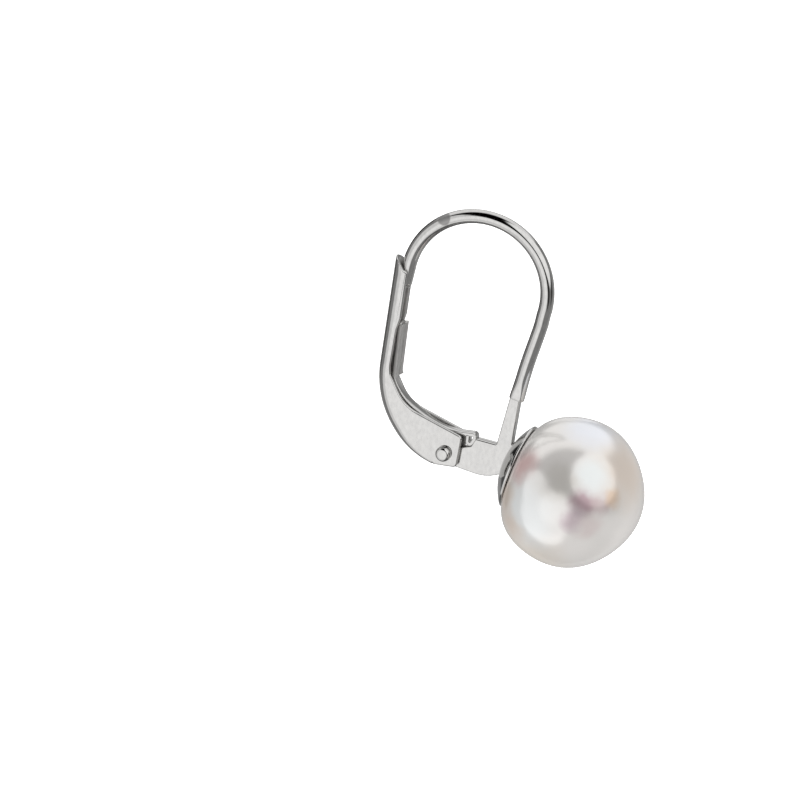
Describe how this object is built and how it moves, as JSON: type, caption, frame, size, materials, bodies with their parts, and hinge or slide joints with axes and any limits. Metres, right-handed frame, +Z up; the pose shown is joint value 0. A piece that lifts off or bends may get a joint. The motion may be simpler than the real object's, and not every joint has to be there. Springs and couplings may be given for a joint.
{
  "type": "leverback pearl earring",
  "caption": "Leverback earring: an arched ear wire on a hinge plate, a sprung channel lever that closes on the wire's tip, and a cup with a peg that carries a large button pearl.",
  "frame": {"origin": "underside of the ear wire at the top of its arch, where the earring hangs in the ear", "axes": "+Z up along the hanging earring, +X from the lever at the back to the pearl at the front, Y across the mechanism"},
  "size_m": [0.015, 0.0084, 0.0199],
  "materials": {
    "polished_metal": "polished, plated white",
    "spring_metal": "rolled, lightly polished",
    "pearl": "lustrous nacre"
  },
  "bodies": {
    "wire": {"ear_wire": "polished_metal", "pearl": "pearl"},
    "lever": {"lever": "polished_metal", "spring": "spring_metal", "hinge_pin": "polished_metal"}
  },
  "joints": [
    {"name": "lever_hinge", "type": "hinge", "parent": "wire", "child": "lever", "pos_m": [-0.0017, 0, -0.01308], "axis": [0, -1, 0], "range_deg": [0, 60]}
  ]
}
